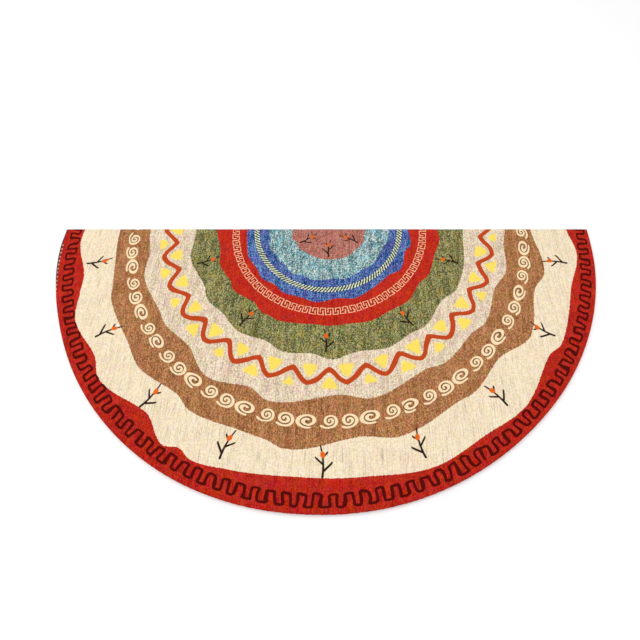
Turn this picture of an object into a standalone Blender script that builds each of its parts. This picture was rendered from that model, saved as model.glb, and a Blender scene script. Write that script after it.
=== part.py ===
"""Half-round doormat: one low-pile mat cut to a half disc, lying flat.

The origin is the bottom centre of the mat's box. +X runs along the straight edge, which
lies at +Y against the door, the round side faces -Y, and +Z is up.
"""

import math

import bmesh
import bpy

WIDTH = 0.900  # the straight edge, which is the disc's diameter
THICKNESS = 0.006  # backing and pile together
RIM_ROUND = 0.0022  # how far the cut pile is rounded over at the top of the rim

RADIUS = WIDTH / 2
DEPTH = RADIUS  # a true half disc
STRAIGHT_EDGE_Y = DEPTH / 2

ARC_SPANS = 4  # Bezier spans round the half disc
SPAN_STEPS = 24  # straight steps in each span
RIM_STEPS = 3  # facets across the rounded rim

WELD_DISTANCE = 0.00001
COPLANAR_ANGLE = math.radians(0.5)
PILE_COLOUR = (0.62, 0.38, 0.24, 1.0)  # the warm mean of the mat's colours
PILE_ROUGHNESS = 0.95


def clear_scene():
    for obj in list(bpy.data.objects):
        bpy.data.objects.remove(obj, do_unlink=True)


def pile_material():
    material = bpy.data.materials.new("printed_pile")
    material.use_nodes = True
    shader = material.node_tree.nodes["Principled BSDF"]
    shader.inputs["Base Color"].default_value = PILE_COLOUR
    shader.inputs["Roughness"].default_value = PILE_ROUGHNESS
    shader.inputs["Metallic"].default_value = 0.0
    return material


def half_disc_curve():
    """The cut outline: a half circle in Bezier spans, closed by the straight edge."""
    curve = bpy.data.curves.new("outline", "CURVE")
    curve.dimensions = "2D"
    curve.fill_mode = "BOTH"
    curve.extrude = THICKNESS / 2
    curve.resolution_u = SPAN_STEPS
    spline = curve.splines.new("BEZIER")
    spline.bezier_points.add(ARC_SPANS)
    spline.use_cyclic_u = True
    span = math.pi / ARC_SPANS
    reach = 4 / 3 * math.tan(span / 4) * RADIUS  # handle length of a round span
    for index, point in enumerate(spline.bezier_points):
        angle = -span * index
        x = RADIUS * math.cos(angle)
        y = STRAIGHT_EDGE_Y + RADIUS * math.sin(angle)
        along_x = reach * math.sin(angle)
        along_y = -reach * math.cos(angle)
        point.handle_left_type = "VECTOR" if index == 0 else "FREE"
        point.handle_right_type = "VECTOR" if index == ARC_SPANS else "FREE"
        point.co = (x, y, 0)
        point.handle_left = (x - along_x, y - along_y, 0)
        point.handle_right = (x + along_x, y + along_y, 0)
    return curve


def cut_blank(collection):
    """The outline made a welded mesh, with one face on top, one below and the wall between."""
    outline = bpy.data.objects.new("outline", half_disc_curve())
    outline.location.z = THICKNESS / 2
    collection.objects.link(outline)
    bpy.context.view_layer.update()
    graph = bpy.context.evaluated_depsgraph_get()
    mesh = bpy.data.meshes.new_from_object(outline.evaluated_get(graph))
    blank = bpy.data.objects.new("mat", mesh)
    blank.matrix_world = outline.matrix_world
    collection.objects.link(blank)
    bpy.data.objects.remove(outline, do_unlink=True)

    work = bmesh.new()
    work.from_mesh(mesh)
    bmesh.ops.remove_doubles(work, verts=work.verts, dist=WELD_DISTANCE)
    bmesh.ops.dissolve_limit(work, angle_limit=COPLANAR_ANGLE, verts=work.verts, edges=work.edges)
    weight = work.edges.layers.float.new("bevel_weight_edge")
    for edge in work.edges:
        at_top = all(vert.co.z > 0 for vert in edge.verts)
        edge[weight] = 1.0 if at_top else 0.0
    work.to_mesh(mesh)
    work.free()
    return blank


def round_the_rim(blank):
    """The pile's cut edge, rounded over at the top and left square below."""
    bevel = blank.modifiers.new("rounded_rim", "BEVEL")
    bevel.limit_method = "WEIGHT"
    bevel.width = RIM_ROUND
    bevel.segments = RIM_STEPS
    blank.data.shade_smooth()
    blank.data.set_sharp_from_angle(angle=math.radians(50))


def main():
    clear_scene()
    collection = bpy.data.collections.new("half_round_doormat")
    bpy.context.scene.collection.children.link(collection)
    mat = cut_blank(collection)
    round_the_rim(mat)
    mat.data.materials.clear()
    mat.data.materials.append(pile_material())


main()
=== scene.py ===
import math

import bpy
import numpy as np
from mathutils import Matrix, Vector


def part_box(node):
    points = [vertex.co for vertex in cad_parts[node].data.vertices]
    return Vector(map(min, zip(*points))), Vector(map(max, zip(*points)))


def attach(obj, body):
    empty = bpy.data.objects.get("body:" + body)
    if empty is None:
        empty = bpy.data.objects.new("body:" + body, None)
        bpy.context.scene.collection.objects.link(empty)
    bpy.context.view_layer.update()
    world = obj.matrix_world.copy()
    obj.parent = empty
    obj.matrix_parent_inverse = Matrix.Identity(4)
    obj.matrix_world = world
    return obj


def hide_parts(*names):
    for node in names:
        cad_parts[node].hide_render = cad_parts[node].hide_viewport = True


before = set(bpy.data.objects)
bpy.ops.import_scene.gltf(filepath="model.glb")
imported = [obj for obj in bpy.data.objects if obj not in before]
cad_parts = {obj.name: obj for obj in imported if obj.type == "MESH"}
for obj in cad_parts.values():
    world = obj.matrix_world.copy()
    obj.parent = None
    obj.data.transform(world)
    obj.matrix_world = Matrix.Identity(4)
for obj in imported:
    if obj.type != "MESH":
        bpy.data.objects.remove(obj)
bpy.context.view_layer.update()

MAT_LOW, MAT_HIGH = (np.array(corner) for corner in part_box("mat"))

# The mat's own sizes, in metres, from the frame.
RADIUS = (MAT_HIGH[0] - MAT_LOW[0]) / 2
STRAIGHT_EDGE_Y = MAT_HIGH[1]
THICKNESS = MAT_HIGH[2] - MAT_LOW[2]

# The pile, in metres: tufts stand at every second point of the grid, with the gaps between them lower.
# Points stray from their rows and their places by up to these shares of the grid's pitch.
TUFT_ROWS = 210
GAP_DEPTH = 0.0010
TIP_SPREAD = 0.0003
ROW_SPREAD = 0.30
PLACE_SPREAD = 0.28
SWELL_HEIGHT = 0.00025
SWELL_LENGTH = 0.16
RIM_ROUND = 0.0008
PILE_SEED = 41

# The cut edge's rows of points, in metres: how far out each stands, its height, and how far the pile's ends
# stray there. The first walls down from the rim are pile, and the others are the back.
BACKING_TOP = 0.0016
CUT_EDGE_ROWS = ((0.0002, 0.0030, 0.00025), (-0.0002, 0.0020, 0.0001),
                 (0.0, BACKING_TOP, 0.0), (0.0, 0.0, 0.0))
PILE_WALLS = 2

# The underside: how many points of the rim go to one of its own, and by how many of its cells it is set in.
UNDERSIDE_SHARE = 5
UNDERSIDE_INSET = 1.2

# The margin around the flat pattern, in metres.
PATTERN_GAP = 0.004

MM = 1000.0

# How far the cut strays outwards from the true half circle, as bends: the bearing in degrees from the mat's
# left end, and the stray in mm. Inwards it fades with a power of the share of the radius.
CUT_STRAY = ((0, 2.3), (5, 3.7), (10, 3.2), (16, 1.3), (26, -0.6), (40, 0.2), (62, 1.1), (75, 0.2),
             (88, -0.8), (105, 0.0), (129, -0.8), (145, 0.6), (160, 1.2), (168, 1.0), (180, -0.8))
STRAY_FADE = 12

# The outer edges of the print's rings, as bends: the bearing in degrees from the mat's left end, and the
# distance in mm from the middle of the straight edge.
ROSE_EDGE = ((0, 62), (16, 66), (28, 62), (38, 64), (55, 62), (90, 63), (120, 65), (136, 63), (155, 65),
             (168, 62), (180, 63))
TEAL_EDGE = ((0, 105), (11, 103), (22, 107), (32, 103), (37, 105), (46, 102), (56, 107), (67, 102),
             (76, 105), (96, 100), (105, 104), (124, 100), (133, 103), (157, 100), (165, 103), (180, 104))
BLUE_EDGE = ((0, 141), (13, 142), (23, 145), (34, 142), (42, 146), (53, 140), (60, 144), (72, 141),
             (83, 144), (97, 137), (108, 143), (119, 139), (136, 136), (146, 145), (160, 137), (167, 143),
             (180, 137))
INNER_RED_EDGE = ((0, 193), (12, 187), (23, 193), (33, 189), (38, 193), (51, 184), (58, 191), (62, 189),
                  (65, 191), (75, 186), (85, 183), (92, 185), (99, 184), (112, 189), (122, 187), (132, 191),
                  (144, 184), (150, 189), (163, 186), (174, 191), (180, 188))
GREEN_EDGE = ((0, 229), (6, 230), (14, 237), (29, 228), (36, 235), (45, 230), (55, 236), (66, 228),
              (74, 236), (85, 231), (92, 240), (102, 232), (114, 240), (123, 236), (129, 240), (142, 230),
              (150, 240), (157, 239), (175, 231), (180, 232))
OAT_EDGE = ((0, 308), (9, 304), (18, 314), (31, 306), (35, 308), (46, 300), (57, 317), (69, 302), (75, 312),
            (94, 294), (103, 306), (120, 295), (126, 303), (138, 298), (144, 305), (156, 295), (164, 306),
            (174, 300), (180, 305))
BROWN_EDGE = ((0, 360), (9, 359), (17, 363), (22, 369), (34, 366), (42, 372), (54, 360), (59, 368),
              (71, 362), (77, 364), (82, 372), (98, 356), (107, 368), (122, 359), (126, 362), (137, 352),
              (147, 373), (160, 356), (166, 368), (180, 350))
CREAM_EDGE = ((0, 421), (3, 422), (13, 408), (18, 415), (24, 426), (34, 415), (39, 424), (52, 404),
              (59, 423), (62, 415), (65, 421), (73, 413), (86, 405), (98, 408), (112, 420), (122, 416),
              (132, 423), (145, 409), (149, 418), (163, 412), (173, 423), (180, 413))
OUTER_EDGE = ((0, 452), (180, 452))

# The rings of the print, from the middle outwards: the outer edge, the colour as seen, and the colours of
# the ring's darker tufts, of its lighter tufts and of its flecks.
RINGS = (
    (ROSE_EDGE, (178, 111, 95), (145, 78, 62), (204, 146, 136), (178, 111, 95)),
    (TEAL_EDGE, (128, 156, 157), (57, 96, 104), (218, 232, 227), (92, 152, 162)),
    (BLUE_EDGE, (46, 91, 154), (9, 44, 110), (128, 164, 210), (106, 104, 180)),
    (INNER_RED_EDGE, (192, 44, 24), (166, 30, 22), (210, 56, 28), (186, 40, 35)),
    (GREEN_EDGE, (116, 117, 77), (68, 80, 47), (182, 174, 120), (142, 132, 66)),
    (OAT_EDGE, (232, 212, 180), (198, 178, 148), (252, 238, 214), (226, 198, 180)),
    (BROWN_EDGE, (170, 115, 73), (133, 83, 45), (204, 148, 103), (170, 115, 73)),
    (CREAM_EDGE, (247, 227, 195), (233, 213, 182), (255, 240, 212), (247, 227, 195)),
    (OUTER_EDGE, (186, 40, 24), (160, 27, 20), (206, 52, 27), (181, 37, 32)),
)

# How far two rings bleed into each other at their edge, as a share of a ring.
EDGE_BLEED = 0.010

# The colours of the ornaments, of the back and of the floor, as seen.
MEANDER_DARK = (86, 8, 4)
SPIRAL_CREAM = (253, 226, 184)
SPIRAL_SHADE = (98, 64, 34)
ZIGZAG_RUST = (194, 72, 30)
TRIANGLE_YELLOW = (255, 226, 100)
KEY_PINK = (255, 190, 150)
KEY_SHADE = (166, 24, 8)
CORD_YELLOW = (212, 219, 152)
CORD_PALE = (238, 245, 232)
CORD_SHADE = (38, 56, 88)
# The dark line and pale dashes along the cut near the left corner.
RIM_SLIVER_DARK = (70, 30, 20)
RIM_SLIVER_PALE = (255, 206, 184)
TWIG_BROWN = (46, 30, 22)
BERRY_ORANGE = (232, 104, 30)
THREAD_SHADE = (196, 194, 190)
RUBBER_DARK = (62, 58, 56)
RUBBER_PALE = (84, 79, 76)
RUBBER_DUSTY = (90, 82, 77)
# The painted shade in the back's dimples.
DIMPLE_PAINTED_SHADE = (38, 35, 34)
FLOOR_SHADE = (250, 250, 250)
FLOOR_WHITE = (253, 253, 253)

# The print is laid in lengths of this many degrees, and lies further out, by this many mm, on the right.
PRINT_LENGTH = 72.4
RIGHT_OUTSET = 1.8

# The zigzag's and its triangles' period and first inner bend in degrees, and their bow: where it is lowest,
# in degrees, and how far it swings out in mm.
ZIGZAG_PERIOD = 12.13
ZIGZAG_START = 6.4
ZIGZAG_BOW = (85.0, 4.7)

# Rows of twigs: their spacing and the first one's bearing in degrees, the distance of the foot in mm, size.
TWIG_ROWS = ((20.0, 10.0, 404.0, 1.1), (36.0, 18.0, 227.0, 1.0), (60.0, 30.0, 56.0, 0.9))

# The room: half the floor's width, the lamp's place and its size in metres, its power in watts, and the
# strength of the light from all round.
FLOOR_HALF = 6.0
LAMP_PLACE = (-0.35, 0.30, 1.9)
LAMP_SIZE = 2.4
LAMP_POWER = 22.0
ROOM_LIGHT = 0.74

# The camera, fitted to the photo: its place in metres, its angles in degrees, its lens and sensor in mm.
CAMERA_PLACE = (0.0396, -0.2307, 0.5921)
CAMERA_ELEVATION = 64.41
CAMERA_TURN = 1.22
CAMERA_ROLL = 0.99
CAMERA_LENS = 23.52
CAMERA_SENSOR = 36.0
CAMERA_SHIFT = -0.0563


def linear(colour):
    """A colour as seen, from 0 to 255, as the linear red, green, blue and alpha that a shader takes."""
    share = np.array(colour) / 255
    low = share / 12.92
    high = ((share + 0.055) / 1.055) ** 2.4
    return (*np.where(share <= 0.04045, low, high), 1.0)


def smooth_through(bends, bearing):
    """The curve through an edge's bends, at each bearing: on each span a cubic Hermite curve. Its slope at a
    bend is the harmonic mean of the two chords' slopes there, and 0 where these have opposite signs, so no
    bend is overshot."""
    x, y = np.array(bends, float).T
    chord = np.diff(y) / np.diff(x)
    before, after = chord[:-1], chord[1:]
    same_way = before * after > 0
    total = np.where(same_way, before + after, 1.0)
    slope = np.concatenate([[0.0], np.where(same_way, 2 * before * after / total, 0.0), [0.0]])
    span = np.clip(np.searchsorted(x, bearing, side="right") - 1, 0, len(x) - 2)
    width = x[span + 1] - x[span]
    t = np.clip((bearing - x[span]) / width, 0, 1)
    start, end = y[span], y[span + 1]
    rise = (3 - 2 * t) * t * t
    ease_out = t * (1 - t) ** 2 * slope[span] * width
    ease_in = t * t * (t - 1) * slope[span + 1] * width
    return start + (end - start) * rise + ease_out + ease_in


def ring_number(bearing, distance):
    """How many rings lie inside each point: whole at a ring's edge, and a share of the way between two."""
    inner = np.zeros_like(distance)
    number = np.zeros_like(distance)
    for edge, *_ in RINGS:
        outer = smooth_through(edge, bearing)
        number += np.clip((distance - inner) / (outer - inner), 0, 1)
        inner = outer
    return number


def half_disc(rows):
    """Bearing in degrees and share of the radius, on a grid of rows + 1 by 2 * rows + 1 points. Half squares
    about the middle of the straight edge become half circles: at (a, b) the share is t = max(|a|, b), and
    the bearing runs with b / t over the left eighth, with a / t over the middle quarter and back with b / t
    over the right eighth."""
    a = np.linspace(-1, 1, 2 * rows + 1)[None, :]
    b = np.linspace(0, 1, rows + 1)[:, None]
    share = np.maximum(np.abs(a), b)
    t = np.maximum(share, 1e-9)
    side = 45 * b / t
    bearing = np.where(b >= np.abs(a), 90 + 45 * a / t, np.where(a < 0, side, 180 - side))
    return bearing, share


def point_numbers(rows):
    """The numbers of the points of half_disc's grid, row by row."""
    return np.arange((rows + 1) * (2 * rows + 1)).reshape(rows + 1, 2 * rows + 1)


def grid_faces(rows):
    """The four corners of each cell of half_disc's grid, turned so that the faces look up."""
    index = point_numbers(rows)
    corners = (index[:-1, :-1], index[1:, :-1], index[1:, 1:], index[:-1, 1:])
    return np.stack(corners, axis=-1).reshape(-1, 4)


def rim_loop(rows):
    """The grid's outline as point numbers: from the left corner round the arc to the right one, then back
    along the straight edge."""
    index = point_numbers(rows)
    return np.concatenate([index[:-1, 0], index[-1, :-1], index[:0:-1, -1], index[0, :0:-1]])


def cut_reach(bearing):
    """The cut edge's distance from the middle of the straight edge, in metres."""
    return RADIUS + smooth_through(CUT_STRAY, bearing) / MM


def place(bearing, share):
    """World x and y of points of the half disc. The rim strays with the cut, and inwards from it the stray
    fades with a high power of the share."""
    angle = np.radians(bearing)
    reach = RADIUS * share + (cut_reach(bearing) - RADIUS) * share ** STRAY_FADE
    return -reach * np.cos(angle), STRAIGHT_EDGE_Y - reach * np.sin(angle)


def soft_noise(x, y, size, random):
    """A smooth random height from -1 to 1: the mean of a few waves in random directions, size metres long."""
    waves = 7
    total = np.zeros_like(x)
    for _ in range(waves):
        turn, phase = random.uniform(0, 2 * math.pi, 2)
        length = size * random.uniform(0.7, 1.6)
        total += np.sin(2 * math.pi * (x * math.cos(turn) + y * math.sin(turn)) / length + phase)
    return total / waves


def pile_top(random):
    """World points of the pile's top, on half_disc's grid. Tips stand at every second point, near the mat's
    full height, and the gaps between them are lower. Points stray a little from their rows, the whole top
    swells softly, and it rounds over in a quarter circle towards the rim."""
    bearing, share = half_disc(TUFT_ROWS)
    pitch = 1 / TUFT_ROWS
    inside = (share < 1 - pitch / 2) & (np.arange(TUFT_ROWS + 1)[:, None] > 0) & (share > pitch / 2)
    share = share + inside * random.uniform(-ROW_SPREAD, ROW_SPREAD, share.shape) * pitch
    x, y = place(bearing, share)
    x = x + inside * random.uniform(-PLACE_SPREAD, PLACE_SPREAD, share.shape) * pitch * RADIUS
    y = y + inside * random.uniform(-PLACE_SPREAD, PLACE_SPREAD, share.shape) * pitch * RADIUS
    from_rim = np.minimum(cut_reach(bearing) - np.hypot(x, y - STRAIGHT_EDGE_Y), STRAIGHT_EDGE_Y - y)
    step = np.add.outer(np.arange(TUFT_ROWS + 1), np.arange(2 * TUFT_ROWS + 1)) % 2
    tip = -TIP_SPREAD * random.uniform(0, 1, share.shape)
    gap = -GAP_DEPTH * random.uniform(0.55, 1, share.shape)
    within = np.clip(RIM_ROUND - from_rim, 0, RIM_ROUND)
    roll_over = RIM_ROUND - np.sqrt(RIM_ROUND ** 2 - within ** 2)
    swell = SWELL_HEIGHT * soft_noise(x, y, SWELL_LENGTH, random)
    z = THICKNESS + np.where(inside & (step == 1), gap, tip) + swell - roll_over
    return np.stack([x, y, z], axis=-1).reshape(-1, 3)


def outwards(bearing, share):
    """Unit directions away from the half disc along its outline: radial on the arc, +Y on the straight edge,
    and the two together at the two corners."""
    angle = np.radians(bearing)
    radial = np.stack([-np.cos(angle), -np.sin(angle)], axis=-1)
    on_arc = share > 1 - 1e-9
    out = np.where(on_arc[:, None], radial, np.array([0.0, 1.0]))
    corner = on_arc & ((bearing < 1e-6) | (bearing > 180 - 1e-6))
    out[corner] += (0.0, 1.0)
    return out


def cut_edge(random):
    """World points of the cut edge, row after row down from the rim, each row following the outline with a
    small outset and a random stray, and their places on the flat pattern, folded out around the top."""
    bearing, share = (field.ravel()[rim_loop(TUFT_ROWS)] for field in half_disc(TUFT_ROWS))
    out = outwards(bearing, share)
    rim = np.stack(place(bearing, share), axis=-1)
    rows = []
    folded_out = []
    for outset, height, stray in CUT_EDGE_ROWS:
        reach = outset + stray * random.uniform(-1, 1, len(rim))
        flat = rim + out * reach[:, None]
        rows.append(np.column_stack([flat, np.full(len(rim), height)]))
        folded_out.append(flat + out * (THICKNESS - height))
    return np.concatenate(rows), np.concatenate(folded_out)


def underside(rows):
    """World points of the flat underside, on a coarser half disc that is set in a little all round."""
    bearing, share = half_disc(rows)
    inset = 1 - UNDERSIDE_INSET / rows
    x, y = place(bearing, share * inset)
    y = y - RADIUS * (1 - inset) / 2
    return np.stack([x, y, np.zeros_like(x)], axis=-1).reshape(-1, 3)


def fans(outer, inner):
    """Triangles between the cut edge's lowest row and the underside's outline, as point numbers: from each
    point of the outline a fan to its share of the row, and one triangle between two fans."""
    outer = outer.reshape(-1, UNDERSIDE_SHARE)
    next_outer = np.append(outer[:, 1:], np.roll(outer[:, 0], -1)[:, None], axis=1)
    next_inner = np.roll(inner, -1)
    half = UNDERSIDE_SHARE // 2
    faces = []
    for step in range(UNDERSIDE_SHARE):
        hub = inner if step <= half else next_inner
        faces.append(np.stack([outer[:, step], hub, next_outer[:, step]], axis=-1))
    faces.append(np.stack([inner, next_inner, next_outer[:, half]], axis=-1))
    return np.concatenate(faces)


def build_mat():
    """One closed sheet: the tufted top, the cut edge as rows carried down from the rim, and the flat
    underside, joined to the lowest row by fans."""
    random = np.random.default_rng(PILE_SEED)
    top = pile_top(random)
    edge, folded_out = cut_edge(random)
    coarse = TUFT_ROWS // UNDERSIDE_SHARE
    points = np.concatenate([top, edge, underside(coarse)])
    under_start = len(top) + len(edge)

    loop = rim_loop(TUFT_ROWS)
    rows = [loop, *np.arange(len(top), under_start).reshape(-1, len(loop))]
    walls = [np.stack([upper, lower, np.roll(lower, -1), np.roll(upper, -1)], axis=-1)
             for upper, lower in zip(rows[:-1], rows[1:])]
    top_faces = grid_faces(TUFT_ROWS)
    under_faces = grid_faces(coarse)[:, ::-1] + under_start
    quads = np.concatenate([top_faces, *walls, under_faces])
    triangles_below = fans(rows[-1], rim_loop(coarse) + under_start)
    mesh = bpy.data.meshes.new("printed_mat")
    mesh.from_pydata(points.tolist(), [], quads.tolist() + triangles_below.tolist())

    slots = np.ones(len(mesh.polygons), np.int32)
    slots[:len(top_faces) + PILE_WALLS * len(loop)] = 0
    mesh.polygons.foreach_set("material_index", slots)
    mesh.shade_smooth()
    sharpen(mesh, rows[-1])
    upper_quads = len(top_faces) + len(walls) * len(loop)
    lay_pattern(mesh, np.concatenate([top[:, :2], folded_out]), points[:, :2], 4 * upper_quads)
    mesh.update()
    return mesh


def sharpen(mesh, loop):
    """Makes the edges between points of the loop sharp ones."""
    ends = np.empty(len(mesh.edges) * 2, np.int32)
    mesh.edges.foreach_get("vertices", ends)
    sharp = np.isin(ends.reshape(-1, 2), loop).all(axis=1)
    mesh.attributes.new("sharp_edge", "BOOLEAN", "EDGE").data.foreach_set("value", sharp)


def lay_pattern(mesh, unfolded, flat, upper_corners):
    """The mat as a flat pattern in the map OFBake, onto which its finish can be painted: the top and the cut
    edge in the upper half, and the underside, seen from below, in the lower half."""
    corner = np.empty(len(mesh.loops), np.int32)
    mesh.loops.foreach_get("vertex_index", corner)
    width = 2 * (RADIUS + 2 * THICKNESS + PATTERN_GAP)
    upper = unfolded[corner[:upper_corners]] / width + (0.5, 0.75)
    lower = flat[corner[upper_corners:]] * (-1, 1) / width + (0.5, 0.25)
    places = np.concatenate([upper, lower]).astype(np.float32)
    mesh.uv_layers.new(name="OFBake").uv.foreach_set("vector", places.ravel())


def store_ring_numbers(mesh):
    """Keeps each point's ring number in the attribute ring, which the print reads."""
    points = np.empty(len(mesh.vertices) * 3, np.float32)
    mesh.vertices.foreach_get("co", points)
    x, y, _ = points.reshape(-1, 3).T.astype(float)
    across, away = -x, STRAIGHT_EDGE_Y - y
    bearing = np.degrees(np.arctan2(np.maximum(away, 0), across))
    number = ring_number(bearing, np.hypot(across, away) * MM)
    mesh.attributes.new("ring", "FLOAT", "POINT").data.foreach_set("value", number.astype(np.float32))


class Field:
    """A number that varies over the surface: an output of a finish's nodes. Arithmetic adds Math nodes."""

    def __init__(self, tree, socket):
        self.tree = tree
        self.socket = socket

    def __add__(self, other):
        return self.tree.math("ADD", self, other)

    def __radd__(self, other):
        return self.tree.math("ADD", other, self)

    def __sub__(self, other):
        return self.tree.math("SUBTRACT", self, other)

    def __rsub__(self, other):
        return self.tree.math("SUBTRACT", other, self)

    def __mul__(self, other):
        return self.tree.math("MULTIPLY", self, other)

    def __truediv__(self, other):
        return self.tree.math("DIVIDE", self, other)

    def __neg__(self):
        return self.tree.math("SUBTRACT", 0.0, self)

    def __abs__(self):
        return self.tree.math("ABSOLUTE", self)


class Finish:
    """A material and the tools that draw its node tree."""

    def __init__(self, name):
        self.material = bpy.data.materials.new(name)
        self.material.use_nodes = True
        self.nodes = self.material.node_tree.nodes
        self.links = self.material.node_tree.links
        self.shader = self.nodes["Principled BSDF"]
        self.count = 0
        self.place = self.add("ShaderNodeTexCoord").outputs["Object"]

    def add(self, kind, **settings):
        """A new node, laid out in rows of thirty so that the tree can be read."""
        node = self.nodes.new(kind)
        node.location = (-400 - 180 * (self.count % 30), 600 - 220 * (self.count // 30))
        self.count += 1
        for key, value in settings.items():
            setattr(node, key, value)
        return node

    def feed(self, socket, value):
        if isinstance(value, Field):
            self.links.new(value.socket, socket)
        else:
            socket.default_value = value

    def math(self, operation, *terms):
        node = self.add("ShaderNodeMath", operation=operation)
        for socket, term in zip(node.inputs, terms):
            self.feed(socket, term)
        return Field(self, node.outputs[0])

    def low(self, a, b):
        return self.math("MINIMUM", a, b)

    def high(self, a, b):
        return self.math("MAXIMUM", a, b)

    def over(self, value, limit):
        """1 where value is over limit, otherwise 0."""
        return self.math("GREATER_THAN", value, limit)

    def length(self, a, b):
        return self.math("SQRT", a * a + b * b)

    def remainder(self, a, period):
        return self.math("FLOORED_MODULO", a, period)

    def whole(self, a):
        return self.math("ROUND", a)

    def by_turns(self, number):
        """0 at even whole numbers and 1 at odd ones."""
        return self.math("PINGPONG", number, 1.0)

    def rise(self, value, start, end):
        """0 up to start, 1 from end, and straight between them. It falls where end is under start."""
        node = self.add("ShaderNodeMapRange")
        self.feed(node.inputs["Value"], value)
        self.feed(node.inputs["From Min"], start)
        self.feed(node.inputs["From Max"], end)
        return Field(self, node.outputs["Result"])

    def within(self, distance, reach, bleed=0.4):
        """1 where distance is under reach, with an edge bleed wide."""
        return self.rise(distance, reach + bleed / 2, reach - bleed / 2)

    def point(self, x, y, z=0.0):
        node = self.add("ShaderNodeCombineXYZ")
        for socket, value in zip(node.inputs, (x, y, z)):
            self.feed(socket, value)
        return Field(self, node.outputs[0])

    def axes(self):
        node = self.add("ShaderNodeSeparateXYZ")
        self.links.new(self.place, node.inputs[0])
        return (Field(self, output) for output in node.outputs)

    def noise(self, point, scale, detail=0.0, result="Fac"):
        """Soft noise from about 0.2 to 0.8, as a number or as a colour."""
        node = self.add("ShaderNodeTexNoise", noise_dimensions="3D")
        self.feed(node.inputs["Vector"], point)
        node.inputs["Scale"].default_value = scale
        node.inputs["Detail"].default_value = detail
        return Field(self, node.outputs[result])

    def waver(self, point, scale):
        """Soft noise about 0, by which a line strays to either side."""
        return self.noise(point, scale) - 0.5

    def yarn(self, x, y, width, run, detail=0.0, layer=0.0):
        """Soft noise drawn out into yarns along y, with a width and a run in mm."""
        return self.noise(self.point(x * (MM / width), y * (MM / run), layer), 1.0, detail)

    def cells(self, point, scale):
        """Tuft-sized cells: the distance to a cell's middle, its random colour and the colour's numbers."""
        node = self.add("ShaderNodeTexVoronoi", voronoi_dimensions="2D")
        self.feed(node.inputs["Vector"], point)
        node.inputs["Scale"].default_value = scale
        split = self.add("ShaderNodeSeparateColor")
        self.links.new(node.outputs["Color"], split.inputs[0])
        distance, colour = (Field(self, node.outputs[name]) for name in ("Distance", "Color"))
        return distance, colour, *(Field(self, output) for output in split.outputs)

    def attribute(self, name):
        return Field(self, self.add("ShaderNodeAttribute", attribute_name=name).outputs["Fac"])

    def blend(self, share, first, second, way="MIX"):
        """The first colour, with the second laid over it by share."""
        node = self.add("ShaderNodeMix", data_type="RGBA", blend_type=way, clamp_result=True)
        self.feed(node.inputs[0], share)
        self.feed(node.inputs[6], first)
        self.feed(node.inputs[7], second)
        return Field(self, node.outputs[2])

    def paint(self, share, ground, colour):
        """The ground, with a plain colour laid over it by share."""
        return self.blend(share, ground, linear(colour))

    def grey(self, value):
        node = self.add("ShaderNodeCombineColor")
        for socket in node.inputs:
            self.feed(socket, value)
        return Field(self, node.outputs[0])

    def dress(self, colour, roughness):
        """Gives the surface its colour and roughness, with next to no gloss, as on pile and dull rubber."""
        self.links.new(colour.socket, self.shader.inputs["Base Color"])
        self.links.new(roughness.socket, self.shader.inputs["Roughness"])
        self.shader.inputs["Specular IOR Level"].default_value = 0.08

    def bump(self, height, distance, strength):
        node = self.add("ShaderNodeBump")
        node.inputs["Strength"].default_value = strength
        node.inputs["Distance"].default_value = distance
        self.feed(node.inputs["Height"], height)
        self.links.new(node.outputs[0], self.shader.inputs["Normal"])


def by_ring(finish, ring, colours):
    """Each ring's own colour, changed at the whole ring numbers."""
    shown = linear(colours[0])
    for number, colour in enumerate(colours[1:], start=1):
        passed = finish.rise(ring, number - EDGE_BLEED / 2, number + EDGE_BLEED / 2)
        shown = finish.paint(passed, shown, colour)
    return shown


def bow(bearing, lowest, swing):
    """How far in mm a ring swings out towards the mat's two ends: swing, times the square of the angle from
    its lowest bearing as a share of a right angle."""
    share = (bearing - lowest) / 90.0
    return share * share * swing


def meander(finish, bearing, distance, wobble):
    """The outer border's square wave: radial bars joined by bars along the ring, by turns at its inner and
    its outer side. The ring is folded about the middle of each half period, and the line is the outline of
    a box with rounded corners: the box of this half period on the joined side, and the next one's on the
    open side. At the end of each length of the print, two half periods share a bar and are both joined at
    the inner side, and the turns just before it are taller."""
    turns, start, middle, height, corner, stroke, squeeze = 66, 0.75, 433.1, 7.5, 1.9, 1.59, 1.4
    first_shared, last_shared, tall_turn, tall_reach, taller = 35.5, 88.5, 43.4, 1.8, 2.0
    outset_from, outset_to, sway, slide, lean, stretch = 100.0, 150.0, 2.0, 0.9, 0.07, 4.0
    half_period = 180 / turns / 2
    degree = math.radians(1) * middle / squeeze
    outset = finish.rise(bearing, outset_from, outset_to) * RIGHT_OUTSET
    across = distance - middle - outset + wobble * sway
    along = bearing + start + across * wobble * lean + wobble * slide
    number = finish.whole(along / half_period)
    shared = finish.over(number, first_shared) - finish.over(number, last_shared)
    side = finish.by_turns(number + shared) * -2.0 + 1.0
    open_side = finish.math("LESS_THAN", across * side, 0.0)
    folded = abs(along - number * half_period) * degree
    x = folded + (half_period * degree - folded * 2.0) * open_side
    from_tall = abs(finish.remainder(bearing, PRINT_LENGTH) - tall_turn)
    tall = wobble * stretch + height + finish.within(from_tall, tall_reach, 2.0) * taller
    beside = x - (half_period * degree / 2 - corner)
    above = abs(across) - (tall - corner)
    outside = finish.length(finish.high(beside, 0.0), finish.high(above, 0.0))
    inside = finish.low(finish.high(beside, above), 0.0)
    return finish.within(abs(outside + inside - corner), stroke)


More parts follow.
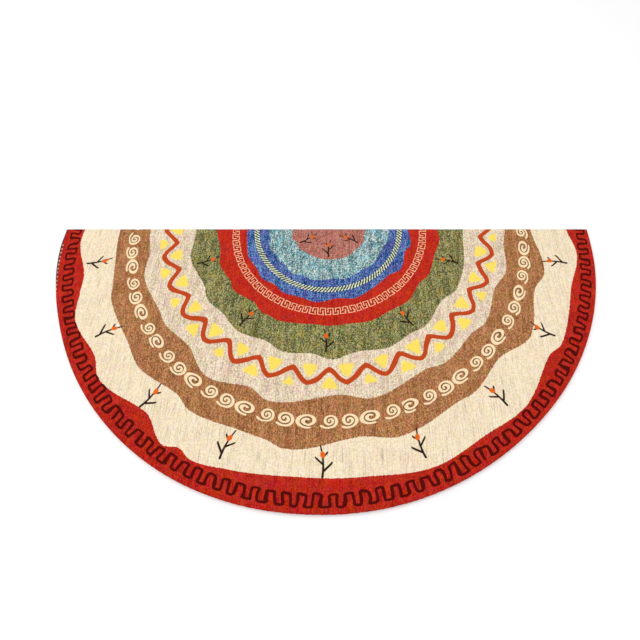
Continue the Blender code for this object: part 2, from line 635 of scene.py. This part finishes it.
def spirals(finish, bearing, distance, wobble):
    """The brown ring's running spirals, in sets of three, the third one turned over, on a row that bows out
    towards the mat's ends. Two sets, a length of the print apart, lack their second one. In each cell, u
    and v run from -1 to 1 across an ellipse, which is wider and a little taller from the second one on.
    After s turns the line is at a distance of its own from the middle: it keeps out for most of the first
    turn, drops in, and drops again at its end. A tail swings wide before s = 0. Returns the distance from
    the line and from the middle, in the ellipse's units."""
    set_start, set_width, second_from, third_from = 0.85, 15.5, 5.0, 9.8
    first_skip, first_gap, second_gap, sway, slide = 37.3, 5.2, 5.5, 2.0, 0.4
    blunt_end, wider_beside, far_off = 8.0, 0.055, 9.0
    second_skip = first_skip + PRINT_LENGTH
    skipped = finish.over(bearing, first_skip) * first_gap + finish.over(bearing, second_skip) * second_gap
    place_in_set = finish.remainder(bearing + skipped + wobble * slide - set_start, set_width)
    # In a set, second is 1 from its second spiral on, and third is 1 at its third.
    second = finish.over(place_in_set, second_from)
    third = finish.over(place_in_set, third_from)
    centre = 2.85 + second * 4.65 + third * 5.25
    half_width = 1.78 + second * 0.26 + third * 0.60
    half_height = second * 0.5 + 9.1
    middle = bearing * 0.010 + 330.2 + bow(bearing, 85.0, 1.4) + second * 0.9 - third * 0.5
    u = (place_in_set - centre) / half_width * (1.0 - third * 2.0)
    v = (distance + wobble * sway - middle) / half_height
    reach = finish.length(u, v)
    turn = finish.math("ARCTAN2", u, v) / (2 * math.pi)
    start = second * 0.02 + third * 0.09 - 0.16
    end = 1.86 - third * 0.22
    tail_swing = 2.6 - second * 1.3 - third * 1.3
    near = far_off
    for whole_turns in (0.0, 1.0, 2.0):
        s = turn + whole_turns
        drop = s * 0.20
        first_drop = finish.rise(s, 0.60, 1.10) * 0.29
        last_drop = finish.rise(s, 1.45, 2.0) * 0.25
        line = 0.92 - drop - first_drop - last_drop + finish.high(-s, 0.0) * tail_swing
        cut_off = finish.high(finish.high(start - s, s - end), 0.0)
        near = finish.low(abs(reach - line) + cut_off * blunt_end, near)
    sideways = u / reach
    return near - sideways * sideways * wider_beside, reach


def zigzag(finish, bearing, distance, wobble):
    """The oatmeal ring's zigzag, blunt at its inner bends and round at its outer ones. Between the two its
    middle line follows w + 0.3 w (1 - w) - 0.3 sin(2 pi w) / 2 pi, and the gap to it is shortened by the
    line's slope."""
    fall, inner, outer, stroke, blunt, ease = 0.453, 254.0, 276.8, 3.6, 0.08, 0.3
    sway, slide = 2.5, 0.8
    whole_turn = 2 * math.pi
    phase = finish.remainder(bearing + wobble * slide - ZIGZAG_START, ZIGZAG_PERIOD) / ZIGZAG_PERIOD
    w = finish.length(finish.low(phase / fall, (1.0 - phase) / (1 - fall)), blunt)
    bend = finish.math("SINE", w * whole_turn) / whole_turn - w * (1.0 - w)
    line = (w - bend * ease) * (outer - inner) + inner
    flank = ZIGZAG_PERIOD / 2 * math.radians(1) * (inner + outer) / 2
    steepness = (1 + ease) - w * (2 * ease) - finish.math("COSINE", w * whole_turn) * ease
    slope = steepness * ((outer - inner) / flank)
    gap = abs(distance - bow(bearing, *ZIGZAG_BOW) + wobble * sway - line)
    return finish.within(gap / finish.length(slope, 1.0), stroke)


def triangle_row(finish, bearing, depth, first, middle, slants, reach, larger_by, moved_by):
    """One row of triangles, as the distance in mm from their outline, below 0 inside it. Each is the space
    inside a flat side, from which depth counts, and two slanted ones, with a round tip, and its other
    corners rounded by a smooth maximum. Every second one is larger and its flat side is moved out."""
    tip, corner = 4.4, 10.0
    along = finish.remainder(bearing - first + ZIGZAG_PERIOD / 2, ZIGZAG_PERIOD * 2)
    larger = finish.over(along, ZIGZAG_PERIOD)
    across = (finish.remainder(along, ZIGZAG_PERIOD) - ZIGZAG_PERIOD / 2) * (math.radians(1) * middle)
    depth = depth + larger * moved_by
    slanted = finish.length(across, tip) * slants[0] + depth * slants[1] - reach - larger * larger_by
    return finish.math("SMOOTH_MAX", slanted, -depth, corner)


def triangles(finish, bearing, distance, wobble, ragged):
    """The yellow triangles on both sides of the zigzag, one in each of its bends."""
    outer_side, inner_side, first_inner, fray, sway = 283.6, 247.8, 12.1, 4.0, 3.0
    distance = distance - bow(bearing, *ZIGZAG_BOW)
    outer = triangle_row(finish, bearing, outer_side - distance, first=ZIGZAG_START, middle=277,
                         slants=(0.87, 0.50), reach=10.7, larger_by=1.8, moved_by=1.4)
    inner = triangle_row(finish, bearing, distance - inner_side, first=first_inner, middle=257,
                         slants=(0.90, 0.436), reach=12.4, larger_by=0.8, moved_by=0.0)
    near = finish.low(inner, outer) + ragged * fray + wobble * sway
    return finish.within(near, 0.0, 2.0)


def square_key(finish, bearing, distance, wobble, ragged):
    """The inner border's key line, in repeats of one long radial bar, a bar out to two thirds of the repeat
    and one in over its last two thirds, and a short radial bar at each third. Returns the share of the
    line and of the darker belt behind it."""
    repeats, inner, middle, outer, stroke = 42.4, 154.4, 160.0, 165.4, 0.58
    short_from, short_to, radial_slimming, merge = 158.8, 161.0, 0.72, 0.5
    belt_reach, belt_bleed = 5.6, 1.2
    outset_from, outset_to, sway, slide, lean = 105.0, 140.0, 2.0, 1.5, 0.12
    repeat = 180 / repeats
    width = repeat * math.radians(1) * middle
    third = width / 3
    leaning = (distance - middle) * wobble * lean
    x = finish.remainder(bearing + leaning + wobble * slide, repeat) / repeat * width
    y = distance - finish.rise(bearing, outset_from, outset_to) * RIGHT_OUTSET + wobble * sway

    def radial_bar(at, start, end):
        beyond = finish.high(finish.high(start - y, y - end), 0.0)
        return finish.length((x - at) * radial_slimming, beyond)

    def ring_bar(at, start, end):
        beyond = finish.high(finish.high(start - x, x - end), 0.0)
        return finish.length(y - at, beyond)

    near = radial_bar(0.0, inner, outer)
    for bar in (radial_bar(width, inner, outer), ring_bar(outer, 0.0, 2 * third),
                radial_bar(2 * third, short_from, outer), ring_bar(inner, third, width),
                radial_bar(third, inner, short_to)):
        near = finish.math("SMOOTH_MIN", near, bar, merge)
    line = finish.within(near, ragged + stroke)
    belt = finish.within(abs(y - (inner + outer) / 2), belt_reach, belt_bleed)
    return line, belt


def twisted_cord(finish, bearing, distance, ragged):
    """The blue ring's twisted line: slanted yellow strands side by side, paler at their ends, with deep blue
    between them and a thin deep blue line on either side. Returns the share of the whole, and in it those
    of the strands and of their ends."""
    strands, first_strand, slant, fray = 71.6, 0.77, 0.36, 1.2
    middle, half_width, rim, scallop = 120.6, 3.9, 1.2, 0.7
    across = distance - middle - bow(bearing, 120.0, 2.3)
    along = bearing - first_strand + across * slant + ragged * fray
    wave = finish.math("SINE", along * (2 * math.pi * strands / 180))
    strand = finish.within(abs(across) - wave * scallop, half_width, 0.6) * finish.rise(wave, -0.22, 0.38)
    belt = finish.within(abs(across), half_width + rim, 0.8)
    end = finish.rise(abs(across), 1.0, 3.2)
    return belt, strand, end


def rim_sliver(finish, bearing, distance, ragged):
    """A sliver along the cut, only near the left corner, where the cut lies further out: a row of pale
    dashes, and a dark line outside it. Returns the share of the sliver, and in it that of the dashes."""
    start, line, soft = 449.6, 451.3, 0.2
    first_dash, last_bearing, dash_length, dash_share, fray = 3.5, 17.0, 1.0, 0.7, 0.6
    reached = finish.rise(bearing, last_bearing, last_bearing - 2.0)
    outside = finish.rise(distance, line - soft, line + soft)
    dashes = finish.rise(bearing, first_dash, first_dash + 0.5) * (1.0 - outside)
    sliver = finish.rise(distance, start - soft, start + soft) * reached * (outside + dashes * dash_share)
    wave = finish.math("SINE", (bearing + ragged * fray) * (2 * math.pi / dash_length))
    return sliver, finish.rise(wave, -0.2, 0.5) * dashes


def twigs(finish, bearing, distance, spacing, start, foot, size):
    """Plain twigs with one berry each, at even bearings, every second one turned over: a stem with a bend to
    it, and slanted shoots that leave it by turns on either side. Returns the share of wood and of berry."""
    stem_length, stem_width, taper, bend, tilt = 36.0, 1.5, 0.015, 0.006, 0.12
    first_shoot, last_shoot, shoot_gap, shoot_length, shorter = 6.0, 2.0, 8.0, 10.5, 2.0
    slant, slimming = 0.9, 0.74
    berry_up, berry_aside, berry_radius, berry_height = 25.5, 0.6, 3.2, 0.8
    number = finish.whole((bearing - start) / spacing)
    side = finish.by_turns(number) * 2.0 - 1.0
    x = (bearing - start - number * spacing) * math.radians(1) * distance * side / size
    y = (foot - distance) / size
    across = x - (y * y * bend - y * tilt)
    stem = finish.length(across, y - finish.low(finish.high(y, 0.0), stem_length))
    lift = y - abs(across) * slant
    shoot_number = finish.whole((lift - first_shoot) / shoot_gap)
    shoot_number = finish.low(finish.high(shoot_number, 0.0), last_shoot)
    shoot_side = finish.by_turns(shoot_number) * 2.0 - 1.0
    shoot_reach = shoot_length - shoot_number * shorter
    beyond = finish.high(abs(across * shoot_side - shoot_reach / 2) - shoot_reach / 2, 0.0)
    shoot = finish.length((lift - first_shoot - shoot_number * shoot_gap) * slimming, beyond)
    wood = finish.within(finish.low(stem, shoot) + y * taper, stem_width)
    from_berry = finish.length(across + berry_aside, (y - berry_up) * berry_height)
    berry = finish.within(from_berry, berry_radius, 0.5)
    return wood, berry


def mottled_rings(finish, x, y, ring, streak, tuft, tuft_colour):
    """The rings' own colours, in tufts that are darker or lighter by their own number and by the yarn they
    stand on, with pale runs, thin shaded threads, flecks of another hue and a faint change of hue."""
    by_yarn, pale_share, thread_share, fleck_share = 0.8, 0.55, 0.6, 0.7
    patch_share, hue_share, tuft_share = 0.15, 0.014, 0.05
    flat = finish.point(x * MM, y * MM)
    base, dark, light, fleck = (by_ring(finish, ring, colours) for colours in tuple(zip(*RINGS))[1:])
    band = finish.yarn(x, y, 9.0, 70.0, detail=1.0) - 0.5
    tone = tuft + streak * by_yarn + band * by_yarn
    colour = finish.blend(finish.rise(tone, 0.42, 0.18), base, dark)
    colour = finish.blend(finish.rise(tone, 0.58, 0.82), colour, light)
    pale_run = finish.yarn(x, y, 1.8, 52.0, detail=1.0, layer=7.0)
    colour = finish.blend(finish.rise(pale_run, 0.62, 0.74) * pale_share, colour, light)
    thread = finish.rise(finish.yarn(x, y, 1.2, 34.0), 0.62, 0.76) * thread_share
    colour = finish.blend(thread, colour, linear(THREAD_SHADE), "MULTIPLY")
    cluster = finish.noise(flat, 0.24) + finish.waver(flat, 0.065) * 0.9
    colour = finish.blend(finish.rise(cluster, 0.46, 0.68) * fleck_share, colour, fleck, "COLOR")
    patch_colour = finish.noise(flat, 0.11, 1.0, "Color")
    colour = finish.blend(patch_share, colour, patch_colour, "OVERLAY")
    colour = finish.blend(hue_share, colour, patch_colour, "LINEAR_LIGHT")
    return finish.blend(tuft_share, colour, tuft_colour, "OVERLAY")


def ornaments(finish, colour, bearing, distance, wobble, ragged):
    """The rings' ornaments, from the outer border inwards, each laid over the colour given."""
    line_reach, shade_reach, ellipse_reach, spiral_shade, key_shade = 0.138, 0.23, 0.84, 0.9, 0.8
    twig_middle, twig_reach = 18.0, 24.0
    colour = finish.paint(meander(finish, bearing, distance, wobble), colour, MEANDER_DARK)
    near_spiral, reach = spirals(finish, bearing, distance, wobble)
    between = finish.within(near_spiral, shade_reach, 0.10) * finish.within(reach, ellipse_reach, 0.12)
    colour = finish.paint(between * spiral_shade, colour, SPIRAL_SHADE)
    colour = finish.paint(finish.within(near_spiral, line_reach, 0.04), colour, SPIRAL_CREAM)
    colour = finish.paint(triangles(finish, bearing, distance, wobble, ragged), colour, TRIANGLE_YELLOW)
    colour = finish.paint(zigzag(finish, bearing, distance, wobble), colour, ZIGZAG_RUST)
    key, belt = square_key(finish, bearing, distance, wobble, ragged)
    colour = finish.paint(belt * key_shade, colour, KEY_SHADE)
    colour = finish.paint(key, colour, KEY_PINK)
    belt, strand, end = twisted_cord(finish, bearing, distance, ragged)
    yarn = finish.paint(end, linear(CORD_YELLOW), CORD_PALE)
    colour = finish.blend(belt, colour, finish.blend(strand, linear(CORD_SHADE), yarn))
    # A dark line with pale dashes along the cut near the left corner.
    sliver, dash = rim_sliver(finish, bearing, distance, ragged)
    colour = finish.blend(sliver, colour, finish.paint(dash, linear(RIM_SLIVER_DARK), RIM_SLIVER_PALE))
    for spacing, start, foot, size in TWIG_ROWS:
        wood, berry = twigs(finish, bearing, distance, spacing, start, foot, size)
        ground = finish.within(abs(distance - foot + twig_middle), twig_reach)
        colour = finish.paint(wood * ground, colour, TWIG_BROWN)
        colour = finish.paint(berry * ground, colour, BERRY_ORANGE)
    return colour


def printed_pile():
    """The print on the pile. Everything is worked out from the point's place on the mat: its bearing from
    the left end and its distance in mm from the middle of the straight edge. The stored ring number gives
    the rings' edges. A soft wobble and a finer ragged one keep the lines from being too true."""
    wobble_scale, ragged_scale, fibre_scale, tuft_run, ragged_edge = 0.055, 0.45, 1.3, 1.4, 0.035
    finish = Finish("printed_pile")
    x, y, _ = finish.axes()
    away = STRAIGHT_EDGE_Y - y
    distance = finish.length(x, away) * MM
    bearing = finish.math("ARCTAN2", away, -x) * (180 / math.pi)
    flat = finish.point(x * MM, y * MM)
    wobble = finish.waver(flat, wobble_scale)
    ragged = finish.waver(flat, ragged_scale)
    ring = finish.attribute("ring") + ragged * ragged_edge

    streak = finish.yarn(x, y, 1.3, 22.0, detail=1.0) - 0.5
    tufts = finish.point(x * MM, y * (MM / tuft_run))
    tuft_gap, tuft_colour, tone, brightness, dullness = finish.cells(tufts, 1.0)
    colour = mottled_rings(finish, x, y, ring, streak, tone, tuft_colour)
    colour = ornaments(finish, colour, bearing, distance, wobble, ragged)
    shade = brightness * 0.12 + streak * 0.16 + 0.89
    colour = finish.blend(1.0, colour, finish.grey(shade), "MULTIPLY")
    finish.dress(colour, dullness * 0.10 + 0.86)
    fibre = finish.noise(flat, fibre_scale, 1.0)
    finish.bump(fibre - tuft_gap * 0.5, 0.0006, 0.5)
    return finish.material


def backing():
    """The plain non-slip back: dark rubber with small dimples in rows, each dimple darkened with painted
    shade.
    """
    pitch, dimple_radius, grain_scale, dust_scale = 7.0, 1.9, 0.9, 0.02
    finish = Finish("backing")
    x, y, z = finish.axes()
    flat = finish.point(x * MM, y * MM, z * MM)
    grain = finish.noise(flat, grain_scale, 2.0)
    dust = finish.noise(flat, dust_scale, 2.0)
    column = abs(finish.remainder(x * MM, pitch) - pitch / 2)
    row = abs(finish.remainder(y * MM, pitch) - pitch / 2)
    dimple = finish.within(finish.length(column, row), dimple_radius, 0.9)
    colour = finish.paint(grain, linear(RUBBER_DARK), RUBBER_PALE)
    colour = finish.paint(dust * 0.4, colour, RUBBER_DUSTY)
    # Painted shade: each dimple is darkened as if shade lay in it.
    colour = finish.paint(dimple * 0.7, colour, DIMPLE_PAINTED_SHADE)
    finish.dress(colour, grain * 0.2 + 0.75)
    finish.bump(grain * 0.4 - dimple, 0.0004, 0.6)
    return finish.material


def lay_mat():
    mesh = build_mat()
    store_ring_numbers(mesh)
    mesh.materials.append(printed_pile())
    mesh.materials.append(backing())
    mat = bpy.data.objects.new("printed_mat", mesh)
    bpy.context.scene.collection.objects.link(mat)
    return mat


def lay_floor():
    mesh = bpy.data.meshes.new("floor")
    corners = [(x * FLOOR_HALF, y * FLOOR_HALF, 0) for x, y in ((-1, -1), (1, -1), (1, 1), (-1, 1))]
    mesh.from_pydata(corners, [], [(0, 1, 2, 3)])
    finish = Finish("pale_floor")
    x, y, _ = finish.axes()
    grain = finish.noise(finish.point(x, y), 90.0, 2.0)
    colour = finish.paint(grain, linear(FLOOR_SHADE), FLOOR_WHITE)
    finish.links.new(colour.socket, finish.shader.inputs["Base Color"])
    finish.shader.inputs["Roughness"].default_value = 0.8
    mesh.materials.append(finish.material)
    floor = bpy.data.objects.new("floor", mesh)
    bpy.context.scene.collection.objects.link(floor)
    return floor


def soft_light():
    """Even white light from all round, and one large soft lamp up and to the left."""
    world = bpy.data.worlds.new("studio")
    world.use_nodes = True
    world.node_tree.nodes["Background"].inputs["Color"].default_value = (1.0, 1.0, 1.0, 1.0)
    world.node_tree.nodes["Background"].inputs["Strength"].default_value = ROOM_LIGHT
    bpy.context.scene.world = world
    lamp = bpy.data.lights.new("soft_lamp", "AREA")
    lamp.energy = LAMP_POWER
    lamp.size = LAMP_SIZE
    light = bpy.data.objects.new("soft_lamp", lamp)
    light.location = LAMP_PLACE
    light.rotation_euler = light.location.to_track_quat("Z", "Y").to_euler()
    bpy.context.scene.collection.objects.link(light)


def set_camera():
    """The photo's own view: nearly over the round rim, looking down and away at the mat."""
    elevation, turn, roll = (math.radians(a) for a in (CAMERA_ELEVATION, CAMERA_TURN, CAMERA_ROLL))
    level_reach = math.cos(elevation)
    forward = np.array([math.sin(turn) * level_reach, math.cos(turn) * level_reach, -math.sin(elevation)])
    level = np.cross(forward, (0, 0, 1))
    level /= np.linalg.norm(level)
    upright = np.cross(level, forward)
    right = level * math.cos(roll) + upright * math.sin(roll)
    up = upright * math.cos(roll) - level * math.sin(roll)
    camera = bpy.data.objects.new("camera", bpy.data.cameras.new("camera"))
    turned = Matrix(np.stack([right, up, -forward], axis=-1).tolist()).to_4x4()
    camera.matrix_world = Matrix.Translation(CAMERA_PLACE) @ turned
    camera.data.sensor_width = CAMERA_SENSOR
    camera.data.lens = CAMERA_LENS
    camera.data.shift_x = CAMERA_SHIFT
    bpy.context.scene.collection.objects.link(camera)
    bpy.context.scene.camera = camera


mat = lay_mat()
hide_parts("mat")
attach(mat, "root")
lay_floor()
soft_light()
set_camera()
bpy.context.scene.view_settings.view_transform = "Standard"
